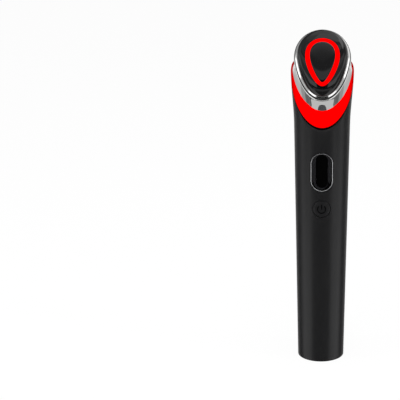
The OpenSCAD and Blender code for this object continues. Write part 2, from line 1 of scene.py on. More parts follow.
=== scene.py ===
"""Looks of the hand-held LED facial massager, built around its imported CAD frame.

The pieces are worked out in millimetres and the stage in metres. Z runs up the wand and the
front is -Y.
"""

from math import atan2, ceil, cos, hypot, pi, radians, sin, sqrt, tan

import bmesh
import bpy
from mathutils import Matrix, Vector


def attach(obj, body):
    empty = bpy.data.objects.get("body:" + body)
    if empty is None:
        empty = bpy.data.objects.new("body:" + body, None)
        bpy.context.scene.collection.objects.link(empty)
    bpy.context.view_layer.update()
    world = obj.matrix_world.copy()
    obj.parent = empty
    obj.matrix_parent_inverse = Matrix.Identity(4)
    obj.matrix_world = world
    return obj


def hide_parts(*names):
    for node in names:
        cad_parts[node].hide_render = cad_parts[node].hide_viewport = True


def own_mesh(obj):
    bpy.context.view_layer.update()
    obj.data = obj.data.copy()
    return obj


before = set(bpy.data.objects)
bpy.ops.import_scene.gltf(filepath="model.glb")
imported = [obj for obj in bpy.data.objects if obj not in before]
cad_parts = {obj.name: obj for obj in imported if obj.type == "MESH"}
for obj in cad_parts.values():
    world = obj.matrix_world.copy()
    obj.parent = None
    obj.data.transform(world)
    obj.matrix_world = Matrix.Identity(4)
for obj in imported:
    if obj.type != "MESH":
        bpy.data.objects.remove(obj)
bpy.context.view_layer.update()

MM = 0.001

# Wand, as in the CAD source
BASE_R = 12.4
TAPER = 0.0178
WALL = 1.6
FLARE_Z = 131
FLARE_R = 1.25
RIM_Z = 159
SHOULDER_Z = 164
CROWN_Z = 166.3
NECK_STEP = 1.65
CROWN_R = BASE_R + TAPER * RIM_Z + FLARE_R - NECK_STEP
HEAD_STEP = 0.1
HEAD_R = CROWN_R + HEAD_STEP

# Slanted planes of the head, whose heights are square to the seam
SLANT = radians(58)
SEAM_Z = 171.2
CHROME_H = 2.8
CHROME_WALL = 1.6
LEDGE_W = 0.65
BAND_H = 5.45
BAND_LOW = -CHROME_H - BAND_H
GASKET_H = 0.35

# Treatment face and its teardrop
GROOVE_W = 0.4
BEZEL_W = 0.95
BEZEL_H = 0.8
COVER_INSET = GROOVE_W + BEZEL_W
FACE_H = 7.25
FACE_WALL = 1.5
TOP_BLUNT = 5.6
TIP_BLUNT = 2.2
RING_DROP = 9.3
RING_SHORT = 2.35
RING_NARROW = 6.4
RING_L = HEAD_R - RING_SHORT
RING_W = HEAD_R - RING_NARROW
RING_SKEW = 2.6
RING_END_T = 1.85
RING_SIDE_T = 2.4
RING_LOW = 1.2

# Joint between the glossy pieces, and how far their edges are eased down at it
JOINT = 0.05
GROOVE = 0.06

# Display and button
DISPLAY_W = 12.4
DISPLAY_H = 21.7
DISPLAY_Z = 108.2
FRAME_RIM = 0.73
BUTTON_R = 4.5
BUTTON_Z = 88
BUTTON_GAP = 0.3
FLANGE_W = 0.9
FLANGE_T = 0.7
SYMBOL_DEPTH = 0.3

# Y of the display rim's back, and of the button's flange and stem
FRAME_BACK = -11.3
FLANGE_BACK = -10.05
FLANGE_FRONT = FLANGE_BACK - FLANGE_T
STEM_BACK = -8.85

# Steps in one turn of the wand and its head, of the display's outline and of the small parts
TURNS = 192
DISPLAY_TURNS = 160
OPENING_TURNS = 96
BUTTON_TURNS = 96
OVAL_TURNS = 64

# Halvings of the range when a surface is searched for, which leave no error that counts
HALVINGS = 40

TO_HEAD = Matrix.Translation((0, 0, SEAM_Z)) @ Matrix.Rotation(SLANT, 4, "X")
HEAD_UP = Vector((0, -sin(SLANT), cos(SLANT)))


def smooth(u):
    """Smooth step from 0 to 1."""
    t = min(1, max(0, u))
    return t * t * (3 - 2 * t)


def turn_angles(count=TURNS):
    """Evenly spaced angles of one turn."""
    return [2 * pi * i / count for i in range(count)]


def flared(z):
    """Radius of the wand below its widest point."""
    return BASE_R + TAPER * z + FLARE_R * smooth((z - FLARE_Z) / (RIM_Z - FLARE_Z))


def ball_r(z, ball):
    """Radius of an upright wall that ends in a ball centred at the crown."""
    if z <= CROWN_Z:
        return ball
    return sqrt(max(0, ball * ball - (z - CROWN_Z) ** 2))


def shell_r(z, inset=0):
    """Radius of the wand's outer surface at height z, drawn in by an inset."""
    if z <= RIM_Z:
        return flared(z) - inset
    if z <= CROWN_Z:
        rise = min(1, (z - RIM_Z) / (SHOULDER_Z - RIM_Z))
        return CROWN_R + (flared(RIM_Z) - CROWN_R) * sqrt(1 - rise * rise) - inset
    return ball_r(z, CROWN_R - inset)


def head_r(z, inset=0):
    """Radius of the chromed head's surface at height z, drawn in by an inset."""
    return ball_r(z, HEAD_R - inset)


def last_inside(inside, far):
    """Greatest distance up to far at which a test still holds, found by halving."""
    low, high = 0.0, far
    for _ in range(HALVINGS):
        middle = (low + high) / 2
        if inside(middle):
            low = middle
        else:
            high = middle
    return low


def rim_point(azimuth, height, inset, radius):
    """Where the plane at this height above the seam meets a surface, at one azimuth."""
    rise = sin(azimuth) * tan(SLANT)
    axis_z = SEAM_Z + height / cos(SLANT)
    out = last_inside(lambda run: run < radius(axis_z + run * rise, inset), 2 * HEAD_R)
    return Vector((out * cos(azimuth), out * sin(azimuth), axis_z + out * rise))


def rim(height, inset, radius):
    """Loop in which the plane at this height above the seam meets a surface."""
    return [rim_point(azimuth, height, inset, radius) for azimuth in turn_angles()]


def loop_stack(loops, capped=False):
    """Bmesh skinned over loops of equal counts: a ring is extruded and moved to each loop.

    The last loop joins the first, or with capped both ends are filled.
    """
    bm = bmesh.new()
    count = len(loops[0])
    ring = list(bmesh.ops.create_circle(bm, radius=1, segments=count)["verts"])
    edges = list(bm.edges)
    start_edges = edges
    for vert, place in zip(ring, loops[0]):
        vert.co = place
    for loop in loops[1:]:
        made = bmesh.ops.extrude_edge_only(bm, edges=edges)["geom"]
        fresh = {v for v in made if isinstance(v, bmesh.types.BMVert)}
        edges = [e for e in made if isinstance(e, bmesh.types.BMEdge)
                 and e.verts[0] in fresh and e.verts[1] in fresh]
        ring = [next(e.other_vert(v) for e in v.link_edges if e.other_vert(v) in fresh)
                for v in ring]
        for vert, place in zip(ring, loop):
            vert.co = place
    ends = start_edges + edges
    if capped:
        bmesh.ops.holes_fill(bm, edges=ends, sides=count)
    else:
        bmesh.ops.bridge_loops(bm, edges=ends)
    bmesh.ops.recalc_face_normals(bm, faces=bm.faces)
    return bm


def spoke_stack(spokes):
    """Bmesh skinned over closed spokes, each a list of points in one direction."""
    return loop_stack(list(zip(*spokes)))


def finish_piece(name, bm, material, stands_for, body="wand", sharp=35, extra=()):
    """Turns a bmesh in millimetres into a smooth-shaded piece that rides on a body.

    Edges that bend more than the sharp angle, in degrees, stay crisp.
    """
    bmesh.ops.scale(bm, vec=(MM, MM, MM), verts=bm.verts)
    limit = radians(sharp)
    for face in bm.faces:
        face.smooth = True
    for edge in bm.edges:
        edge.smooth = len(edge.link_faces) == 2 and edge.calc_face_angle() < limit
    mesh = bpy.data.meshes.new(name)
    bm.to_mesh(mesh)
    bm.free()
    for surface in (material, *extra):
        mesh.materials.append(surface)
    piece = bpy.data.objects.new(name, mesh)
    bpy.context.scene.collection.objects.link(piece)
    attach(piece, body)
    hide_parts(*stands_for)


def cut(bm, cutter, into_material=0):
    """Subtracts one bmesh from another, and gives the cut's walls another material index."""
    for face in cutter.faces:
        face.material_index = into_material
    holders = []
    for label, shape in (("work", bm), ("cutter", cutter)):
        mesh = bpy.data.meshes.new(label)
        shape.to_mesh(mesh)
        shape.free()
        # A face keeps its material index only where the mesh has a slot for it
        for _ in range(into_material + 1):
            mesh.materials.append(None)
        holder = bpy.data.objects.new(label, mesh)
        bpy.context.scene.collection.objects.link(holder)
        holders.append(holder)
    work, tool = holders
    modifier = work.modifiers.new("cut", "BOOLEAN")
    modifier.operation = "DIFFERENCE"
    modifier.solver = "EXACT"
    modifier.object = tool
    bpy.context.view_layer.update()
    evaluated = work.evaluated_get(bpy.context.evaluated_depsgraph_get())
    result = bmesh.new()
    result.from_mesh(evaluated.data)
    for holder in holders:
        mesh = holder.data
        bpy.data.objects.remove(holder)
        bpy.data.meshes.remove(mesh)
    return result


# Materials


def linear(code):
    """Linear RGBA of an sRGB hex colour such as 1C1C1D."""
    parts = [int(code[i : i + 2], 16) / 255 for i in (0, 2, 4)]
    return [c / 12.92 if c <= 0.04045 else ((c + 0.055) / 1.055) ** 2.4 for c in parts] + [1]


WHITE = linear("FFFFFF")
PURE_RED = linear("FF0000")


def add_node(tree, kind, inputs=None, **settings):
    """Adds a shader node. A socket among the inputs is linked, and any other value is set."""
    made = tree.nodes.new(kind)
    for key, value in settings.items():
        setattr(made, key, value)
    for key, value in (inputs or {}).items():
        if isinstance(value, bpy.types.NodeSocket):
            tree.links.new(value, made.inputs[key])
        else:
            made.inputs[key].default_value = value
    return made


def new_material(name, base, roughness, **sockets):
    """Principled material, its tree, its shader and its Object coordinates."""
    material = bpy.data.materials.new(name)
    material.use_nodes = True
    tree = material.node_tree
    shader = tree.nodes["Principled BSDF"]
    shader.inputs["Base Color"].default_value = linear(base)
    shader.inputs["Roughness"].default_value = roughness
    for key, value in sockets.items():
        shader.inputs[key.replace("_", " ")].default_value = value
    place = add_node(tree, "ShaderNodeTexCoord").outputs["Object"]
    return material, tree, shader, place


def grain(tree, shader, place, size, depth, detail=2.0):
    """Fine surface grain of a size and depth in millimetres, as bump."""
    noise = add_node(
        tree,
        "ShaderNodeTexNoise",
        {"Vector": place, "Scale": 1 / (size * MM), "Detail": detail},
    )
    bump = add_node(
        tree,
        "ShaderNodeBump",
        {"Height": noise.outputs["Fac"], "Distance": depth * MM, "Strength": 1.0},
    )
    tree.links.new(bump.outputs["Normal"], shader.inputs["Normal"])


def patches(tree, place, size, low, high):
    """Slow change between two levels, in soft patches of a size in millimetres."""
    noise = add_node(tree, "ShaderNodeTexNoise", {"Vector": place, "Scale": 1 / (size * MM)})
    spread = add_node(
        tree,
        "ShaderNodeMapRange",
        {"Value": noise.outputs["Fac"], "From Min": 0.3, "From Max": 0.7,
         "To Min": low, "To Max": high},
    )
    return spread.outputs["Result"]


def vary_roughness(tree, shader, place, size, low, high):
    """Uneven gloss, such as handling leaves."""
    tree.links.new(patches(tree, place, size, low, high), shader.inputs["Roughness"])


def moulded_abs():
    """Black ABS with a fine spark-eroded texture: soft wide highlights, no mirror image.

    The grain is drawn coarser than the real one, so that it shows.
    """
    material, tree, shader, place = new_material("moulded black ABS", "171718", 0.31)
    shader.inputs["Specular IOR Level"].default_value = 0.27
    grain(tree, shader, place, 0.35, 0.004)
    vary_roughness(tree, shader, place, 14, 0.28, 0.34)
    return material


def polished_acrylic():
    """Piano-black acrylic, cast and polished: a clear reflection over deep black."""
    material, tree, shader, place = new_material("polished black acrylic", "070708", 0.05)
    shader.inputs["IOR"].default_value = 1.41
    vary_roughness(tree, shader, place, 9, 0.03, 0.06)
    return material


def dark_oval_resin():
    """Dark grey lacquered resin of the half-oval insert: a soft sheen beside the chrome."""
    material, tree, shader, place = new_material("dark half-oval resin", "3A3B3D", 0.3)
    vary_roughness(tree, shader, place, 5, 0.27, 0.33)
    return material


def lit_polycarbonate(name):
    """Milky red polycarbonate lit from behind: an even pure red, without gloss."""
    material, tree, shader, place = new_material(name, "700000", 0.5)
    shader.inputs["Specular IOR Level"].default_value = 0.0
    shader.inputs["Emission Color"].default_value = PURE_RED
    glow = patches(tree, place, 6, 0.96, 1.0)
    tree.links.new(glow, shader.inputs["Emission Strength"])
    return material, tree, shader, place, glow


def lit_collar():
    """The collar's lens: its lamps sit in its front half, so it dims towards the back, partly as
    painted shade on its turned-away sides; its foot is darkened by painted shade.
    """
    material, tree, shader, place, glow = lit_polycarbonate("lit red collar lens")
    axes = add_node(tree, "ShaderNodeSeparateXYZ", {"Vector": place})
    up = add_node(tree, "ShaderNodeVectorMath", {0: place, 1: HEAD_UP}, operation="DOT_PRODUCT")
    # Emission dims towards the back, for the lamps' place and as painted shade at the sides, and
    # along the foot as painted shade
    lamps_end = -11
    foot = SEAM_Z * cos(SLANT) + BAND_LOW
    painted_foot_shade_height = 0.6
    back_dim_and_painted_shade, painted_foot_shade = 0.15, 0.05
    for direction, start, end, first, last in (
        (axes.outputs["Y"], lamps_end, 0, 1.0, back_dim_and_painted_shade),
        (up.outputs["Value"], foot, foot + painted_foot_shade_height, painted_foot_shade, 1.0),
    ):
        fade = add_node(
            tree,
            "ShaderNodeMapRange",
            {"Value": direction, "From Min": start * MM, "From Max": end * MM,
             "To Min": first, "To Max": last},
            interpolation_type="SMOOTHSTEP",
        )
        dimmed = add_node(tree, "ShaderNodeMath", {0: glow, 1: fade.outputs["Result"]},
                          operation="MULTIPLY")
        glow = dimmed.outputs[0]
    tree.links.new(glow, shader.inputs["Emission Strength"])
    return material


def chrome_plating():
    """Bright decorative chrome over moulded ABS: a mirror with faint long waves."""
    material, tree, shader, place = new_material("chrome plating", "D8D8D7", 0.06, Metallic=1.0)
    grain(tree, shader, place, 7, 0.004, detail=1.0)
    return material


def anodised_aluminium():
    """Satin clear-anodised aluminium rim: a soft silver line, its grain coarse enough to show."""
    material, tree, shader, place = new_material("satin aluminium", "DCDDDF", 0.25, Metallic=1.0)
    grain(tree, shader, place, 0.3, 0.002)
    return material


def tinted_glass():
    """Smoked cover glass: almost black, with the room's reflection on it."""
    material, tree, shader, place = new_material("smoked display glass", "18181A", 0.08)
    shader.inputs["IOR"].default_value = 1.4
    vary_roughness(tree, shader, place, 8, 0.07, 0.1)
    return material


def matt_black(name, base, roughness):
    """Dead matt black, with hardly any reflection: the display's printed sheet, painted shade in a
    gap and a groove, and the engraving's walls.
    """
    material, tree, shader, place = new_material(name, base, roughness)
    shader.inputs["Specular IOR Level"].default_value = 0.03
    vary_roughness(tree, shader, place, 3, roughness - 0.05, roughness + 0.05)
    return material


def plain(name, base, roughness, metallic=0.0):
    """Inner material with a small even grain."""
    material, tree, shader, place = new_material(name, base, roughness, Metallic=metallic)
    grain(tree, shader, place, 0.6, 0.006)
    return material


abs_black = moulded_abs()
acrylic = polished_acrylic()
dark_oval_finish = dark_oval_resin()
red_band = lit_collar()
red_ring = lit_polycarbonate("lit red teardrop lens")[0]
chrome = chrome_plating()
silver = anodised_aluminium()
glass = tinted_glass()
# Matt black for the display's screen, and as painted shade on the body's slanted top edge and in
# the rim's groove
film_and_painted_shade = matt_black("black display film", "020202", 0.4)
engraving = matt_black("near-black engraving walls", "060606", 0.6)

# Dull and soft: moulded silicone and sintered powder
rubber = plain("black silicone rubber", "141414", 0.6)
ferrite = plain("sintered ferrite", "3A3A3C", 0.6)
# Satin: moulded plastics, a lacquered board and a shrunk sleeve
inner_abs = plain("grey inner ABS", "6E6F72", 0.5)
resin = plain("black chip resin", "161617", 0.45)
laminate = plain("green board laminate", "1E4A2C", 0.35)
sleeve = plain("blue shrink sleeve", "1C4C9A", 0.35)
# Glossy: cast resin and rolled film
polyimide = plain("amber polyimide film", "C0721E", 0.3)
led_resin = plain("clear led resin", "E9DED2", 0.2)
# Bright metal: plated or turned
zinc = plain("zinc-plated screw steel", "9FA2A6", 0.32, metallic=1.0)
nickel = plain("nickel-plated steel", "B4B2AC", 0.25, metallic=1.0)
brass = plain("turned brass", "B58E3F", 0.25, metallic=1.0)

INNER = {
    "base_cap": abs_black, "base_seal": rubber, "base_screws": zinc, "charging_socket": nickel,
    "charge_board": laminate, "link_pins": brass, "chassis": inner_abs, "battery_cell": sleeve,
    "battery_tabs": nickel, "main_board": laminate, "board_screws": zinc, "board_chips": resin,
    "boost_coil": ferrite, "display_module": resin, "window_gasket": rubber,
    "switch_plunger": inner_abs, "button_spring": rubber, "tact_switch": nickel,
    "motor_bracket": inner_abs, "vibration_motor": nickel, "motor_shaft": nickel,
    "eccentric_weight": brass, "head_frame": inner_abs, "band_flex": polyimide,
    "band_leds": led_resin, "head_board": laminate, "head_leds": led_resin,
    "head_screws": zinc, "head_ribbon": polyimide,
}


def dress_inner_nodes():
    """Gives each carried-over CAD node its real material."""
    for name, material in INNER.items():
        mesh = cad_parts[name].data
        mesh.materials.clear()
        mesh.materials.append(material)


# Body


def stadium(width, height, count):
    """Stadium outline in X and Z about its centre, evenly stepped."""
    r = width / 2
    half = (height - width) / 2
    straight = 2 * half
    total = 2 * pi * r + 2 * straight
    points = []
    for i in range(count):
        run = total * i / count
        if run < pi * r:
            a = run / r
            points.append((r * cos(a), half + r * sin(a)))
        elif run < pi * r + straight:
            points.append((-r, half - (run - pi * r)))
        elif run < 2 * pi * r + straight:
            a = pi + (run - pi * r - straight) / r
            points.append((r * cos(a), -half + r * sin(a)))
        else:
            points.append((r, -half + (run - 2 * pi * r - straight)))
    return points


def on_front(x, z, depth=0.0):
    """Point of the wand's front surface at x and z, sunk by a depth."""
    r = shell_r(z) - depth
    return Vector((x, -sqrt(r * r - x * x), z))


def wand_row(foot, ends, share, inset=0):
    """Loop of the wand's wall, a share of the way up from the foot to the ends above it."""
    row = []
    for a, end in zip(turn_angles(), ends):
        z = foot + (end.z - foot) * share
        r = shell_r(z) - inset
        row.append(Vector((r * cos(a), r * sin(a), z)))
    return row


def wand_shell():
    """Tapered body with a rounded foot, openings in front, and its slanted top edge painted matt
    black as painted shade under the collar.
    """
    foot = 0.25
    edge = 0.3
    rows = 64
    inner_rows = rows // 2
    # Steps of the foot's rounding, as shares of its radius inwards and upwards
    rounding = ((1, 0), (0.62, 0.075), (0.29, 0.29), (0.075, 0.62))
    sole = [(BASE_R - WALL, 0)] + [(BASE_R - foot * inw, foot * upw) for inw, upw in rounding]
    base = [[Vector((r * cos(a), r * sin(a), z)) for a in turn_angles()] for r, z in sole]
    top = rim(BAND_LOW - edge, 0, shell_r)
    sides = [wand_row(foot, top, k / rows) for k in range(rows + 1)]
    crest = [rim(BAND_LOW, edge, shell_r), rim(BAND_LOW, WALL, shell_r)]
    lining = [wand_row(foot, crest[-1], 1 - k / inner_rows, WALL) for k in range(1, inner_rows)]
    bm = loop_stack(base + sides + crest + lining)
    button_hole = 2 * (BUTTON_R + BUTTON_GAP)
    for width, height, centre in (
        (DISPLAY_W, DISPLAY_H, DISPLAY_Z),
        (button_hole, button_hole, BUTTON_Z),
    ):
        outline = stadium(width, height, OPENING_TURNS)
        bm = cut(bm, loop_stack(
            [[Vector((x, y, centre + z)) for x, z in outline] for y in (-2 * BASE_R, -BASE_R / 2)],
            capped=True,
        ))
    # The slanted top edge gets the matt black of the second slot: painted shade, a dark line in
    # the gap under the collar
    to_plane = TO_HEAD.inverted()
    for face in bm.faces:
        if (to_plane @ face.calc_center_median()).z > BAND_LOW - edge:
            face.material_index = 1
    finish_piece("wand_shell", bm, abs_black,
                 stands_for=["body_shell"], extra=[film_and_painted_shade])


def rounded(points, radius):
    """Closed section whose corners are rounded. A corner is (inset, height, share of radius)."""
    steps = 4
    made = []
    for i, (x, y, share) in enumerate(points):
        r = radius * share
        if not r:
            made.append((x, y))
            continue
        here = Vector((x, y))
        to_last = (Vector(points[i - 1][:2]) - here).normalized() * r
        to_next = (Vector(points[(i + 1) % len(points)][:2]) - here).normalized() * r
        for k in range(steps + 1):
            t = k / steps
            spot = here + to_last * (1 - t) ** 2 + to_next * t**2
            made.append((spot.x, spot.y))
    return made


def slanted_ring(section, radius):
    """Ring round the head whose section is a list of (inset, height above the seam)."""
    return loop_stack([rim(height, inset, radius) for inset, height in section])


def along(section, steps):
    """Adds evenly spaced points to a section's first side, for a surface that bends."""
    (x0, y0), (x1, y1) = section[:2]
    between = [
        (x0 + (x1 - x0) * k / steps, y0 + (y1 - y0) * k / steps) for k in range(1, steps)
    ]
    return [section[0]] + between + section[1:]


def collar_lens():
    """Red lens between the body and the chrome ring, with a rolled upper edge.

    It stands clear of the body by a narrow gap that reads as a shadow line.
    """
    roll = 0.9
    low_edge = 0.15
    body_gap, ring_gap = 0.22, 0.1
    foot, top = BAND_LOW + body_gap, -CHROME_H - ring_gap
    outer = [(0, foot + low_edge), (0, top - roll)]
    arc = [
        (roll * (1 - cos(a)), top - roll * (1 - sin(a)))
        for a in (radians(15 * k) for k in range(1, 7))
    ]
    section = along(outer, 10) + arc + [(WALL, top), (WALL, foot), (low_edge, foot)]
    finish_piece("collar_lens", slanted_ring(section, shell_r), red_band,
                 stands_for=["light_band"])


def head_ring():
    """Wide chrome ring that flares to the lens, with an eased upper edge."""
    edge = 0.12
    support = 0.05
    corners = [(0, -CHROME_H, 0), (0, 0, 1), (CHROME_WALL, 0, 0), (CHROME_WALL, -CHROME_H, 0)]

    def flank(height):
        """Radius of the ring's outer side, which widens from the seam down to the lens."""
        def radius(z, inset):
            head = head_r(z, inset)
            room = shell_r(z, LEDGE_W + inset) - head
            return head + max(0, room) * -height / CHROME_H
        return radius

    section = rounded(corners, edge)
    # A point just under the eased edge keeps the flank straight up to it
    section.insert(1, (0, -edge - support))
    bm = loop_stack([rim(height, inset, flank(height) if inset < CHROME_WALL else head_r)
                     for inset, height in along(section, 6)])
    finish_piece("head_ring", bm, chrome, stands_for=["chrome_ring"])


def seam_strip():
    """Black gasket in the seam between the two chrome rings."""
    outer, inner = 0.08, COVER_INSET + FACE_WALL
    low = -0.02
    section = [(outer, low), (outer, GASKET_H), (inner, GASKET_H), (inner, low)]
    finish_piece("seam_strip", slanted_ring(section, head_r), rubber,
                 stands_for=["seam_gasket"])


# Treatment face


def head_point(angle, distance, height):
    """Point in one direction at one distance from the face's centre, above the seam."""
    return TO_HEAD @ Vector(
        (distance * cos(angle), -RING_DROP + distance * sin(angle), height)
    )


def face_reach(angle, inset=0.0):
    """Distance from the face's centre to its edge in one direction, drawn in by an inset."""
    def inside_head(distance):
        spot = head_point(angle, distance, GASKET_H)
        return hypot(spot.x, spot.y) < head_r(spot.z)

    return last_inside(inside_head, 3 * HEAD_R) - COVER_INSET - inset


def dome(angle, distance, inset=0.0):
    """Height of the face above the seam, in one direction at one distance from its centre."""
    blunt = (TOP_BLUNT + TIP_BLUNT) / 2 + (TOP_BLUNT - TIP_BLUNT) / 2 * sin(angle)
    u = min(1, distance / face_reach(angle, inset))
    return GASKET_H + (FACE_H - inset) * max(0, 1 - u**blunt) ** (1 / blunt)


def drop(turn, ends_in=0.0, sides_in=0.0):
    """Angle and distance of a point of the teardrop's outline, drawn in at ends and sides."""
    x = sin(turn) * (RING_W - sides_in + RING_SKEW * cos(turn))
    y = (RING_L - ends_in) * cos(turn)
    return atan2(y, x), hypot(x, y)


def face_shell():
    """Glossy black face: a dome from the teardrop's edge out to the inner chrome ring."""
    # Shares of the way out, closer where the dome bends to its edge
    shares = [0, 0.012, 0.1, 0.2, 0.3, 0.4, 0.5, 0.58, 0.66, 0.73, 0.79, 0.84, 0.88, 0.915,
              0.94, 0.96, 0.975, 0.986, 0.994, 1]
    spokes = []
    for turn in turn_angles():
        angle, start = drop(turn)
        start += JOINT
        end = face_reach(angle)
        inner = face_reach(angle, FACE_WALL)
        spoke = []
        for share in shares:
            distance = start + (end - start) * share
            sunk = GROOVE if share == 0 else 0
            spoke.append(head_point(angle, distance, dome(angle, distance) - sunk))
        for share in (1, 0.6, 0):
            distance = start + (inner - start) * share
            spoke.append(head_point(angle, distance, dome(angle, distance, FACE_WALL)))
        spokes.append(spoke)
    finish_piece("face_shell", spoke_stack(spokes), acrylic,
                 stands_for=["face_cover"])


def teardrop_lens():
    """Red lens ring set into the face, with its two edges eased."""
    def across(turn, share):
        """Angle and distance a share of the way from the ring's inner edge to its outer."""
        return drop(turn, RING_END_T * (1 - share), RING_SIDE_T * (1 - share))

    spokes = []
    for turn in turn_angles():
        spoke = []
        for share in (0, 0.04, 0.15, 0.35, 0.5, 0.65, 0.85, 0.96, 1):
            angle, distance = across(turn, share)
            sunk = GROOVE if share in (0, 1) else 0
            spoke.append(head_point(angle, distance, dome(angle, distance) - sunk))
        for share in (1, 0):
            angle, distance = across(turn, share)
            spoke.append(head_point(angle, distance, RING_LOW))
        spokes.append(spoke)
    finish_piece("teardrop_lens", spoke_stack(spokes), red_ring,
                 stands_for=["led_ring"])


def teardrop_plate():
    """Glossy black middle of the teardrop, flush with the ring."""
    plate = 1.4
    shares = [0.02, 0.15, 0.3, 0.45, 0.6, 0.75, 0.88, 0.985, 1]
    under = [(share, plate) for share in shares]
    upper = [(share, GROOVE if share == 1 else 0) for share in reversed(shares)]
    rings = []
    for share, sunk in under + upper:
        ring = []
        for turn in turn_angles():
            angle, distance = drop(turn, RING_END_T + JOINT, RING_SIDE_T + JOINT)
            distance *= share
            ring.append(head_point(angle, distance, dome(angle, distance) - sunk))
        rings.append(ring)
    finish_piece("teardrop_plate", loop_stack(rings, capped=True), acrylic,
                 stands_for=["centre_plate"])


def bevel_ring():
    """Narrow chrome ring round the face. Its bevelled flank is flatter towards the front."""
    flat = 0.12
    ease, crest_ease = 0.04, 0.03
    lip_back, lip_front = 0.12, 0.36
    front_from, front_over = 0.35, 0.5
    spokes = []
    for angle in turn_angles():
        lip = lip_back + (lip_front - lip_back) * smooth((-sin(angle) - front_from) / front_over)
        profile = [(BEZEL_W, 0), (BEZEL_W, lip), (BEZEL_W - ease, lip + ease),
                   (flat + ease, BEZEL_H - crest_ease), (flat, BEZEL_H), (JOINT, BEZEL_H),
                   (JOINT, 0)]
        spokes.append([head_point(angle, face_reach(angle) + out, GASKET_H + up)
                       for out, up in profile])
    finish_piece("bevel_ring", spoke_stack(spokes), chrome,
                 stands_for=["bezel_ring"], sharp=7)


def dark_half_oval():
    """Dark half-oval insert in front of the chrome ring, cut straight by the collar."""
    half_w, half_h = 2.4, 3.6
    rise = 0.2
    proud = 0.03
    deep, side, eased = 1.2, 0.12, 0.02
    centre_z = SEAM_Z - CHROME_H / cos(SLANT) - HEAD_R * tan(SLANT) + rise
    rings = []
    for share, sunk in ((1, deep), (1, side), (0.94, eased), (0.6, 0), (0.2, 0), (0.01, 0)):
        r = HEAD_R + proud - sunk
        ring = []
        for a in turn_angles(OVAL_TURNS):
            x = half_w * share * cos(a)
            ring.append(Vector((x, -sqrt(r * r - x * x), centre_z + half_h * share * sin(a))))
        rings.append(ring)
    bm = loop_stack(rings, capped=True)
    low = TO_HEAD @ Vector((0, 0, -CHROME_H))
    bmesh.ops.bisect_plane(bm, geom=bm.verts[:] + bm.edges[:] + bm.faces[:], dist=1e-5,
                           plane_co=low, plane_no=HEAD_UP, clear_inner=True)
    bmesh.ops.holes_fill(bm, edges=[e for e in bm.edges if e.is_boundary])
    finish_piece("dark_half_oval", bm, dark_oval_finish, stands_for=["touch_sensor"])


# Display


def display_loop(width, height, depth, shift=0):
    """Stadium sunk below the front surface by a depth, or on the display's flat back."""
    loop = []
    for x, z in stadium(width, height, DISPLAY_TURNS):
        at = DISPLAY_Z + shift + z
        loop.append(Vector((x, FRAME_BACK, at)) if depth is None else on_front(x, at, depth))
    return loop


def depth_of(face):
    """How far a face's middle lies below the wand's surface."""
    spot = face.calc_center_median()
    return shell_r(spot.z) - hypot(spot.x, spot.y)


def display_rim():
    """Thin silver stadium rim let into the body, in a narrow groove whose deeper faces are painted
    matt black as painted shade.
    """
    play = 0.02
    groove_w, groove_deep = 0.35, 1.0
    ease, side, crest = 0.06, 0.1, 0.02
    film_from = 0.15
    section = [
        (play, None), (play, groove_deep), (groove_w, groove_deep), (groove_w, side),
        (groove_w + ease, crest), (FRAME_RIM - ease, crest), (FRAME_RIM, side),
        (FRAME_RIM, None),
    ]
    bm = loop_stack([display_loop(DISPLAY_W - 2 * inset, DISPLAY_H - 2 * inset, depth)
                     for inset, depth in section])
    # Faces deeper than film_from get the matt black: painted shade that keeps the groove dark
    for face in bm.faces:
        if depth_of(face) > film_from:
            face.material_index = 1
    finish_piece("display_rim", bm, silver,
                 stands_for=["display_frame"], extra=[film_and_painted_shade])


def display_glass():
    """Smoked window with a sunk black screen, whose lower lip catches the light."""
    side = FRAME_RIM + JOINT
    window_w, window_h = DISPLAY_W - 2 * side, DISPLAY_H - 2 * side
    edge, edge_deep, front = 0.2, 0.25, 0.18
    screen_w = 6.4
    above, below = 1.0, 2.0
    screen_h = DISPLAY_H - above - below
    up = (below - above) / 2
    slope_w, slope_h = 2.4, 1.2
    lip = 0.24
    draft_w, draft_h = 0.3, 0.5
    screen_edge, screen_deep = 0.75, 0.8
    film_from, film_to = 0.6, 1.2
    foot_film = 0.22
    foot = DISPLAY_Z - 5.2
    steps = [
        (window_w, window_h, None, 0),
        (window_w, window_h, edge_deep, 0),
        (window_w - edge, window_h - edge, front, 0),
        (screen_w + slope_w, screen_h + slope_h, front, up),
        (screen_w, screen_h, lip, up),
        (screen_w - draft_w, screen_h - draft_h, screen_edge, up),
    ]
    steps += [
        (share * screen_w, screen_h - draft_h - (1 - share) * screen_w, screen_deep, up)
        for share in (0.85, 0.6, 0.35, 0.1)
    ]
    bm = loop_stack([display_loop(*step) for step in steps], capped=True)
    for face in bm.faces:
        depth = depth_of(face)
        under_lip = depth < foot_film and face.calc_center_median().z < foot
        if film_from < depth < film_to or under_lip:
            face.material_index = 1
    finish_piece("display_glass", bm, glass,
                 stands_for=["display_window"], sharp=20, extra=[film_and_painted_shade])


# Power button


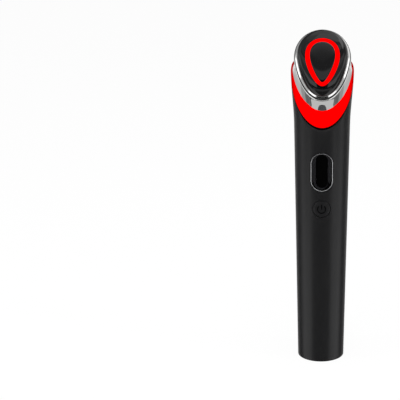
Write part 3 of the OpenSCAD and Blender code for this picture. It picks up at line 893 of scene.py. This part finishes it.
def symbol_tool():
    """Cutter for the power symbol: an open arc and a bar, as deep as the engraving."""
    arc_r = 2.15
    arc_drop = 0.15
    line = 0.58
    bar_low, bar_high = -0.2, 2.5
    gap = radians(38)
    spare = 1
    front = on_front(0, BUTTON_Z).y
    y0, y1 = front - spare, front + SYMBOL_DEPTH
    bm = bmesh.new()
    section = [bm.verts.new((arc_r + dx, y, 0)) for dx, y in
               ((-line / 2, y0), (line / 2, y0), (line / 2, y1), (-line / 2, y1))]
    face = bm.faces.new(section)
    start = Matrix.Rotation(-(pi / 2 + gap), 4, "Y")
    bmesh.ops.rotate(bm, verts=section, cent=(0, 0, 0), matrix=start)
    bmesh.ops.spin(bm, geom=[face], cent=(0, 0, 0), axis=(0, 1, 0), dvec=(0, 0, 0),
                   angle=-(2 * pi - 2 * gap), steps=48)
    bmesh.ops.recalc_face_normals(bm, faces=bm.faces)
    bmesh.ops.translate(bm, vec=(0, 0, BUTTON_Z - arc_drop), verts=bm.verts)
    bar = bmesh.ops.create_cube(bm, size=1)["verts"]
    bmesh.ops.scale(bm, vec=(line, y1 - y0, bar_high - bar_low), verts=bar)
    bmesh.ops.translate(bm, vec=(0, (y0 + y1) / 2, BUTTON_Z + (bar_low + bar_high) / 2),
                        verts=bar)
    return bm


def push_button():
    """Round button, flush with the body, with its symbol engraved and the engraving's walls
    near-black.
    """
    ease = 0.2
    sunk = 0.05
    pole = 0.05
    stem_r = 1.2
    flange_r = BUTTON_R + FLANGE_W
    turned = [(pole, STEM_BACK), (stem_r, STEM_BACK), (stem_r, FLANGE_BACK),
              (flange_r, FLANGE_BACK), (flange_r, FLANGE_FRONT), (BUTTON_R, FLANGE_FRONT)]
    eased = [(BUTTON_R - ease * off, sunk + ease * down)
             for off, down in ((0, 1), (0.3, 0.3), (1, 0))]
    crown = [(BUTTON_R * share, sunk) for share in (0.75, 0.5, 0.25)] + [(pole, sunk)]
    angles = turn_angles(BUTTON_TURNS)
    loops = [[Vector((radius * cos(a), y, BUTTON_Z + radius * sin(a))) for a in angles]
             for radius, y in turned]
    loops += [[on_front(radius * cos(a), BUTTON_Z + radius * sin(a), depth) for a in angles]
              for radius, depth in eased + crown]
    bm = cut(loop_stack(loops, capped=True), symbol_tool(), into_material=1)
    finish_piece("push_button", bm, abs_black, body="button",
                 stands_for=["power_button"], extra=[engraving])


def squeeze_spring():
    """Gives the rubber spring behind the button a mesh of its own."""
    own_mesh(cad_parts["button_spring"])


# Stage, in metres


def stage_piece(name, finish, bm):
    """Object of the stage, and the empty tree of its material."""
    mesh = bpy.data.meshes.new(name)
    bm.to_mesh(mesh)
    bm.free()
    holder = bpy.data.objects.new(name, mesh)
    bpy.context.scene.collection.objects.link(holder)
    material = bpy.data.materials.new(finish)
    material.use_nodes = True
    material.node_tree.nodes.clear()
    mesh.materials.append(material)
    return holder, material.node_tree


def shown_share(tree):
    """1 on the rays that show the backdrop: from the camera, in a reflection and through glass."""
    path = add_node(tree, "ShaderNodeLightPath")
    share = path.outputs["Is Camera Ray"]
    for sight in ("Is Glossy Ray", "Is Transmission Ray"):
        total = add_node(tree, "ShaderNodeMath", {0: share, 1: path.outputs[sight]},
                         operation="ADD", use_clamp=True)
        share = total.outputs[0]
    return share


def mix_surface(tree, share, first, second, output="ShaderNodeOutputMaterial"):
    """Ends a tree in a mix of two shaders."""
    mixed = add_node(tree, "ShaderNodeMixShader",
                     {0: share, 1: first.outputs[0], 2: second.outputs[0]})
    add_node(tree, output, {"Surface": mixed.outputs[0]})


def studio_floor():
    """White floor that keeps the wand's shadow."""
    bm = bmesh.new()
    bmesh.ops.create_grid(bm, x_segments=1, y_segments=1, size=6)
    floor, tree = stage_piece("floor", "white floor", bm)
    # The rest of what the camera sees of the floor is lit, and so keeps the shadow
    plain_white = 0.94
    share = add_node(tree, "ShaderNodeMath", {0: shown_share(tree), 1: plain_white},
                     operation="MULTIPLY")
    grey = 0.9
    matt = add_node(tree, "ShaderNodeBsdfDiffuse", {"Color": (grey, grey, grey, 1)})
    glow = add_node(tree, "ShaderNodeEmission", {"Color": WHITE, "Strength": 1.0})
    mix_surface(tree, share.outputs[0], matt, glow)
    floor.visible_glossy = False


# The point that the cards stand round, the distance of the first card, how much nearer each
# next one stands, and the steps of a card's grid in degrees
CARD_CENTRE = Vector((0, 0, 0.15))
CARD_REACH = 0.7
CARD_GAP = 0.005
CARD_STEP = 2


def card(name, azimuths, elevations, grey, soft, reach):
    """Curved grey card round the head, feathered at its edges, that only reflections see.

    Azimuths run from the front to the right and elevations up, in degrees. The feather's width
    is in degrees too.
    """
    (left, right), (low, high) = azimuths, elevations
    bm = bmesh.new()
    bmesh.ops.create_grid(bm, x_segments=ceil((right - left) / CARD_STEP),
                          y_segments=ceil((high - low) / CARD_STEP), size=1)
    cover = bm.verts.layers.float.new("cover")
    for vert in bm.verts:
        azimuth = left + (right - left) * (vert.co.x + 1) / 2
        elevation = low + (high - low) * (vert.co.y + 1) / 2
        share = 1
        for edge in (azimuth - left, right - azimuth, elevation - low, high - elevation):
            share *= smooth(edge / soft)
        vert[cover] = share
        across, up = radians(azimuth), radians(max(-90, min(90, elevation)))
        vert.co = CARD_CENTRE + reach * Vector((
            sin(across) * cos(up), -cos(across) * cos(up), sin(up)))
    holder, tree = stage_piece(name, name, bm)
    share = add_node(tree, "ShaderNodeAttribute", attribute_name="cover")
    clear = add_node(tree, "ShaderNodeBsdfTransparent")
    glow = add_node(tree, "ShaderNodeEmission", {"Strength": grey})
    mix_surface(tree, share.outputs["Fac"], clear, glow)
    for sight in ("camera", "diffuse", "shadow", "transmission", "volume_scatter"):
        setattr(holder, "visible_" + sight, False)


def studio_cards():
    """Cards in front of a white room, the later ones nearer and so over the earlier.

    A row is the card's name, azimuths, elevations, grey and feather.
    """
    cards = [
        ("floor in front", (-50, 50), (-95, -20), 0.24, 3),
        ("far room", (-50, 50), (-26, -6), 0.1, 3),
        ("notch", (-21, 21), (-9, 16), 0.02, 1.5),
        ("overhead", (-70, 64), (36, 61), 0.32, 3),
        ("plate top", (-56, 56), (50, 59), 1.1, 3.2),
        ("overhead left", (-112, -28), (40, 66), 0.6, 5),
        ("left back", (-184, -94), (8, 70), 0.4, 4),
        ("right grey", (62, 94), (18, 46), 0.35, 5),
        ("top", (-180, 180), (70, 95), 1.4, 5),
        ("top right", (-14, 140), (60, 80), 1.7, 1.5),
        ("right lobe", (52, 130), (46, 64), 3.0, 1.5),
    ]
    on_both_sides = [
        ("upper strip", (22, 72), (4, 26), 0.6, 4),
        ("bevel strip", (22, 65), (-10, 8), 1.7, 2),
        ("side strip", (70, 94), (-1, 18), 1.7, 2),
        ("lower strip", (42, 94), (-75, -21), 1.3, 5),
        ("side", (72, 124), (-21, -1), 0.62, 3),
        ("side foot", (98, 140), (-60, -12), 0.1, 4),
        ("low side", (55, 80), (-27, -1), 0.4, 3),
        ("low back", (136, 184), (-80, -8), 0.4, 6),
    ]
    post_reach, panel_reach = 0.075, 0.08
    for side in (-1, 1):
        cards += [(name, sorted((side * near, side * far)), elevations, grey, soft)
                  for name, (near, far), elevations, grey, soft in on_both_sides]
        card("post", sorted((side * 42, side * 60)), (-24, -4), 0.17, 3, post_reach)
    for place, row in enumerate(cards):
        card(*row, CARD_REACH - CARD_GAP * place)
    card("low panel", (-40, 42), (-24, -10), 0.7, 1.5, panel_reach)


def studio_world():
    """White room to look at, which lights the wand at a lower level."""
    world = bpy.data.worlds.new("studio")
    bpy.context.scene.world = world
    world.use_nodes = True
    tree = world.node_tree
    tree.nodes.clear()
    room_light = 0.45
    fill = add_node(tree, "ShaderNodeBackground", {"Color": WHITE, "Strength": room_light})
    white = add_node(tree, "ShaderNodeBackground", {"Color": WHITE, "Strength": 1.0})
    mix_surface(tree, shown_share(tree), fill, white, output="ShaderNodeOutputWorld")


def lamp(name, place, aim, size, size_y, power):
    """Soft rectangular lamp, whose mirror image the cards stand for."""
    data = bpy.data.lights.new(name, "AREA")
    data.shape = "RECTANGLE"
    data.size = size
    data.size_y = size_y
    data.energy = power
    light = bpy.data.objects.new(name, data)
    bpy.context.scene.collection.objects.link(light)
    light.location = place
    light.rotation_euler = (Vector(aim) - Vector(place)).to_track_quat("-Z", "Y").to_euler()
    light.visible_glossy = False


def studio_lamps():
    """A tall strip on each side and a square lamp overhead, all aimed at the wand."""
    aim = (0, 0, 0.1)
    lamp("left strip", (-0.7, -0.25, 0.12), aim, 0.12, 0.7, 3.0)
    lamp("right strip", (0.7, -0.25, 0.12), aim, 0.12, 0.7, 3.0)
    lamp("overhead", (0, -0.2, 0.9), aim, 0.6, 0.6, 6.0)


def photo_camera():
    """Camera at the photograph's viewing angle."""
    elevation = radians(18.47)
    distance = 0.95
    aim = Vector((0, 0, 0.09))
    focal_px = 1781
    image_px = 400
    aim_px = (321.65, 197.2)
    roll = radians(0.34)
    data = bpy.data.cameras.new("photo camera")
    data.sensor_width = 36
    data.lens = focal_px / image_px * data.sensor_width
    data.shift_x = (image_px / 2 - aim_px[0]) / image_px
    data.shift_y = (aim_px[1] - image_px / 2) / image_px
    camera = bpy.data.objects.new("photo camera", data)
    bpy.context.scene.collection.objects.link(camera)
    place = aim + distance * Vector((0, -cos(elevation), sin(elevation)))
    turn = (aim - place).to_track_quat("-Z", "Y").to_matrix().to_4x4()
    camera.matrix_world = (
        Matrix.Translation(place) @ turn @ Matrix.Rotation(roll, 4, "Z")
    )
    bpy.context.scene.camera = camera


photo_camera()
studio_world()
studio_floor()
studio_cards()
studio_lamps()
bpy.context.scene.view_settings.view_transform = "Standard"

dress_inner_nodes()
wand_shell()
collar_lens()
head_ring()
seam_strip()
bevel_ring()
face_shell()
teardrop_lens()
teardrop_plate()
dark_half_oval()
display_rim()
display_glass()
push_button()
squeeze_spring()
